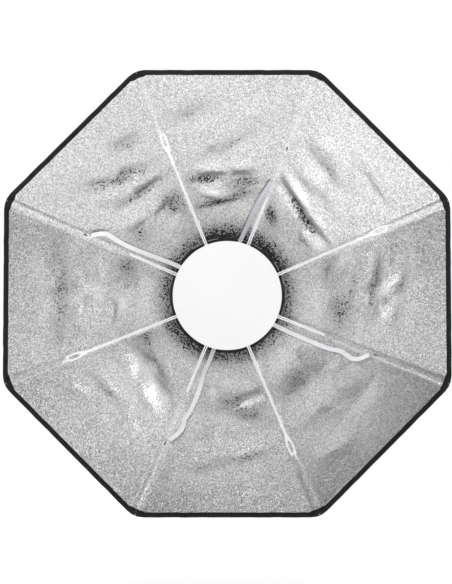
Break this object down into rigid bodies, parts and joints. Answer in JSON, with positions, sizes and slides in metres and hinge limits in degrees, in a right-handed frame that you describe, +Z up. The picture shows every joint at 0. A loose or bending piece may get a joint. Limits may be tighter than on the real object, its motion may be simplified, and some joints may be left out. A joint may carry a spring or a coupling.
{
  "type": "studio softbox",
  "caption": "Folding octagonal beauty-dish softbox: silver-lined cloth on hinged rods, a white deflector disc hung on cords, and a turning speedring on a bayonet adapter.",
  "frame": {"origin": "centre of the adapter's seating face, on the softbox's axis, where the lamp head meets it", "axes": "-Y runs forwards out of the opening, +X to the right seen from the front, +Z up"},
  "size_m": [0.6506, 0.2783, 0.6506],
  "materials": {
    "cast_black": "black powder coat",
    "bare_aluminium": "machined",
    "bright_steel": "plated",
    "black_nylon": "moulded, fine grain",
    "black_cloth": "woven nylon",
    "deflector_white": "matt white",
    "hoop_black": "satin",
    "white_elastic": "braided",
    "white_tape": "woven tape",
    "white_plastic": "moulded",
    "fibreglass": "pulled fibreglass",
    "silver_cloth": "metallised liner with a pebbled grain, black shell outside"
  },
  "bodies": {
    "adapter": {"bayonet_adapter": "bare_aluminium", "retaining_ring": "cast_black", "retaining_screws": "bright_steel"},
    "ring": {"speedring": "cast_black", "hinge_pins": "bright_steel", "spring_plungers": "bright_steel", "canopy_collar": "black_cloth", "deflector_disc": "deflector_white", "deflector_hoop": "hoop_black", "deflector_eyelets": "bright_steel", "long_cords": "white_elastic", "short_cords": "white_elastic", "sleeve_tapes": "white_tape"},
    "lock": {"lock_screw": "bright_steel", "lock_knob": "black_nylon"},
    "rod_1": {"rod_1": "fibreglass", "socket_1": "black_nylon", "gore_root_1": "silver_cloth", "hook_1": "white_plastic"},
    "rod_2": {"rod_2": "fibreglass", "socket_2": "black_nylon", "gore_root_2": "silver_cloth"},
    "rod_3": {"rod_3": "fibreglass", "socket_3": "black_nylon", "gore_root_3": "silver_cloth", "hook_3": "white_plastic"},
    "rod_4": {"rod_4": "fibreglass", "socket_4": "black_nylon", "gore_root_4": "silver_cloth"},
    "rod_5": {"rod_5": "fibreglass", "socket_5": "black_nylon", "gore_root_5": "silver_cloth", "hook_5": "white_plastic"},
    "rod_6": {"rod_6": "fibreglass", "socket_6": "black_nylon", "gore_root_6": "silver_cloth"},
    "rod_7": {"rod_7": "fibreglass", "socket_7": "black_nylon", "gore_root_7": "silver_cloth", "hook_7": "white_plastic"},
    "rod_8": {"rod_8": "fibreglass", "socket_8": "black_nylon", "gore_root_8": "silver_cloth"},
    "flap_1a": {"gore_flap_1a": "silver_cloth"},
    "flap_1b": {"gore_flap_1b": "silver_cloth"},
    "flap_2a": {"gore_flap_2a": "silver_cloth"},
    "flap_2b": {"gore_flap_2b": "silver_cloth"},
    "flap_3a": {"gore_flap_3a": "silver_cloth"},
    "flap_3b": {"gore_flap_3b": "silver_cloth"},
    "flap_4a": {"gore_flap_4a": "silver_cloth"},
    "flap_4b": {"gore_flap_4b": "silver_cloth"},
    "flap_5a": {"gore_flap_5a": "silver_cloth"},
    "flap_5b": {"gore_flap_5b": "silver_cloth"},
    "flap_6a": {"gore_flap_6a": "silver_cloth"},
    "flap_6b": {"gore_flap_6b": "silver_cloth"},
    "flap_7a": {"gore_flap_7a": "silver_cloth"},
    "flap_7b": {"gore_flap_7b": "silver_cloth"},
    "flap_8a": {"gore_flap_8a": "silver_cloth"},
    "flap_8b": {"gore_flap_8b": "silver_cloth"}
  },
  "joints": [
    {"name": "ring_swivel", "type": "hinge", "parent": "adapter", "child": "ring", "pos_m": [0, -0.0066, 0], "axis": [0, -1, 0], "continuous": true},
    {"name": "lock_knob_turn", "type": "hinge", "parent": "ring", "child": "lock", "pos_m": [0, -0.0066, -0.122], "axis": [0, 0, -1], "range_deg": [0, 360]},
    {"name": "rod_1_fold", "type": "hinge", "parent": "ring", "child": "rod_1", "pos_m": [0.08777, -0.018, 0.03635], "axis": [0.3827, 0, -0.9239], "range_deg": [0, 43], "deforming": ["long_cords", "short_cords", "sleeve_tapes"]},
    {"name": "rod_2_fold", "type": "hinge", "parent": "ring", "child": "rod_2", "pos_m": [0.03635, -0.018, 0.08777], "axis": [0.9239, 0, -0.3827], "range_deg": [0, 43]},
    {"name": "rod_3_fold", "type": "hinge", "parent": "ring", "child": "rod_3", "pos_m": [-0.03635, -0.018, 0.08777], "axis": [0.9239, 0, 0.3827], "range_deg": [0, 43]},
    {"name": "rod_4_fold", "type": "hinge", "parent": "ring", "child": "rod_4", "pos_m": [-0.08777, -0.018, 0.03635], "axis": [0.3827, 0, 0.9239], "range_deg": [0, 43]},
    {"name": "rod_5_fold", "type": "hinge", "parent": "ring", "child": "rod_5", "pos_m": [-0.08777, -0.018, -0.03635], "axis": [-0.3827, 0, 0.9239], "range_deg": [0, 43]},
    {"name": "rod_6_fold", "type": "hinge", "parent": "ring", "child": "rod_6", "pos_m": [-0.03635, -0.018, -0.08777], "axis": [-0.9239, 0, 0.3827], "range_deg": [0, 43]},
    {"name": "rod_7_fold", "type": "hinge", "parent": "ring", "child": "rod_7", "pos_m": [0.03635, -0.018, -0.08777], "axis": [-0.9239, 0, -0.3827], "range_deg": [0, 43]},
    {"name": "rod_8_fold", "type": "hinge", "parent": "ring", "child": "rod_8", "pos_m": [0.08777, -0.018, -0.03635], "axis": [-0.3827, 0, -0.9239], "range_deg": [0, 43]},
    {"name": "gore_1a_crease", "type": "hinge", "parent": "rod_1", "child": "flap_1a", "pos_m": [0.08777, -0.018, 0], "axis": [0.6412, -0.6757, 0.3638], "range_deg": [0, 67.1], "deforming": ["gore_flap_1a"]},
    {"name": "gore_1b_crease", "type": "hinge", "parent": "rod_1", "child": "flap_1b", "pos_m": [0.06206, -0.018, 0.06206], "axis": [-0.7106, 0.6757, -0.1961], "range_deg": [0, 67.1], "deforming": ["gore_flap_1b"]},
    {"name": "gore_2a_crease", "type": "hinge", "parent": "rod_2", "child": "flap_2a", "pos_m": [0.06206, -0.018, 0.06206], "axis": [0.1961, -0.6757, 0.7106], "range_deg": [0, 67.1], "deforming": ["gore_flap_2a"]},
    {"name": "gore_2b_crease", "type": "hinge", "parent": "rod_2", "child": "flap_2b", "pos_m": [0, -0.018, 0.08777], "axis": [-0.3638, 0.6757, -0.6412], "range_deg": [0, 67.1], "deforming": ["gore_flap_2b"]},
    {"name": "gore_3a_crease", "type": "hinge", "parent": "rod_3", "child": "flap_3a", "pos_m": [0, -0.018, 0.08777], "axis": [-0.3638, -0.6757, 0.6412], "range_deg": [0, 67.1], "deforming": ["gore_flap_3a"]},
    {"name": "gore_3b_crease", "type": "hinge", "parent": "rod_3", "child": "flap_3b", "pos_m": [-0.06206, -0.018, 0.06206], "axis": [0.1961, 0.6757, -0.7106], "range_deg": [0, 67.1], "deforming": ["gore_flap_3b"]},
    {"name": "gore_4a_crease", "type": "hinge", "parent": "rod_4", "child": "flap_4a", "pos_m": [-0.06206, -0.018, 0.06206], "axis": [-0.7106, -0.6757, 0.1961], "range_deg": [0, 67.1], "deforming": ["gore_flap_4a"]},
    {"name": "gore_4b_crease", "type": "hinge", "parent": "rod_4", "child": "flap_4b", "pos_m": [-0.08777, -0.018, 0], "axis": [0.6412, 0.6757, -0.3638], "range_deg": [0, 67.1], "deforming": ["gore_flap_4b"]},
    {"name": "gore_5a_crease", "type": "hinge", "parent": "rod_5", "child": "flap_5a", "pos_m": [-0.08777, -0.018, 0], "axis": [-0.6412, -0.6757, -0.3638], "range_deg": [0, 67.1], "deforming": ["gore_flap_5a"]},
    {"name": "gore_5b_crease", "type": "hinge", "parent": "rod_5", "child": "flap_5b", "pos_m": [-0.06206, -0.018, -0.06206], "axis": [0.7106, 0.6757, 0.1961], "range_deg": [0, 67.1], "deforming": ["gore_flap_5b"]},
    {"name": "gore_6a_crease", "type": "hinge", "parent": "rod_6", "child": "flap_6a", "pos_m": [-0.06206, -0.018, -0.06206], "axis": [-0.1961, -0.6757, -0.7106], "range_deg": [0, 67.1], "deforming": ["gore_flap_6a"]},
    {"name": "gore_6b_crease", "type": "hinge", "parent": "rod_6", "child": "flap_6b", "pos_m": [0, -0.018, -0.08777], "axis": [0.3638, 0.6757, 0.6412], "range_deg": [0, 67.1], "deforming": ["gore_flap_6b"]},
    {"name": "gore_7a_crease", "type": "hinge", "parent": "rod_7", "child": "flap_7a", "pos_m": [0, -0.018, -0.08777], "axis": [0.3638, -0.6757, -0.6412], "range_deg": [0, 67.1], "deforming": ["gore_flap_7a"]},
    {"name": "gore_7b_crease", "type": "hinge", "parent": "rod_7", "child": "flap_7b", "pos_m": [0.06206, -0.018, -0.06206], "axis": [-0.1961, 0.6757, 0.7106], "range_deg": [0, 67.1], "deforming": ["gore_flap_7b"]},
    {"name": "gore_8a_crease", "type": "hinge", "parent": "rod_8", "child": "flap_8a", "pos_m": [0.06206, -0.018, -0.06206], "axis": [0.7106, -0.6757, -0.1961], "range_deg": [0, 67.1], "deforming": ["gore_flap_8a"]},
    {"name": "gore_8b_crease", "type": "hinge", "parent": "rod_8", "child": "flap_8b", "pos_m": [0.08777, -0.018, 0], "axis": [-0.6412, 0.6757, 0.3638], "range_deg": [0, 67.1], "deforming": ["gore_flap_8b"]}
  ],
  "couplings": [
    {"joint": "rod_2_fold", "follows": "rod_1_fold", "ratio": 1},
    {"joint": "rod_3_fold", "follows": "rod_1_fold", "ratio": 1},
    {"joint": "rod_4_fold", "follows": "rod_1_fold", "ratio": 1},
    {"joint": "rod_5_fold", "follows": "rod_1_fold", "ratio": 1},
    {"joint": "rod_6_fold", "follows": "rod_1_fold", "ratio": 1},
    {"joint": "rod_7_fold", "follows": "rod_1_fold", "ratio": 1},
    {"joint": "rod_8_fold", "follows": "rod_1_fold", "ratio": 1},
    {"joint": "gore_1a_crease", "follows": "rod_1_fold", "ratio": 1.5372},
    {"joint": "gore_1b_crease", "follows": "rod_1_fold", "ratio": 1.5372},
    {"joint": "gore_2a_crease", "follows": "rod_1_fold", "ratio": 1.5372},
    {"joint": "gore_2b_crease", "follows": "rod_1_fold", "ratio": 1.5372},
    {"joint": "gore_3a_crease", "follows": "rod_1_fold", "ratio": 1.5372},
    {"joint": "gore_3b_crease", "follows": "rod_1_fold", "ratio": 1.5372},
    {"joint": "gore_4a_crease", "follows": "rod_1_fold", "ratio": 1.5372},
    {"joint": "gore_4b_crease", "follows": "rod_1_fold", "ratio": 1.5372},
    {"joint": "gore_5a_crease", "follows": "rod_1_fold", "ratio": 1.5372},
    {"joint": "gore_5b_crease", "follows": "rod_1_fold", "ratio": 1.5372},
    {"joint": "gore_6a_crease", "follows": "rod_1_fold", "ratio": 1.5372},
    {"joint": "gore_6b_crease", "follows": "rod_1_fold", "ratio": 1.5372},
    {"joint": "gore_7a_crease", "follows": "rod_1_fold", "ratio": 1.5372},
    {"joint": "gore_7b_crease", "follows": "rod_1_fold", "ratio": 1.5372},
    {"joint": "gore_8a_crease", "follows": "rod_1_fold", "ratio": 1.5372},
    {"joint": "gore_8b_crease", "follows": "rod_1_fold", "ratio": 1.5372}
  ]
}
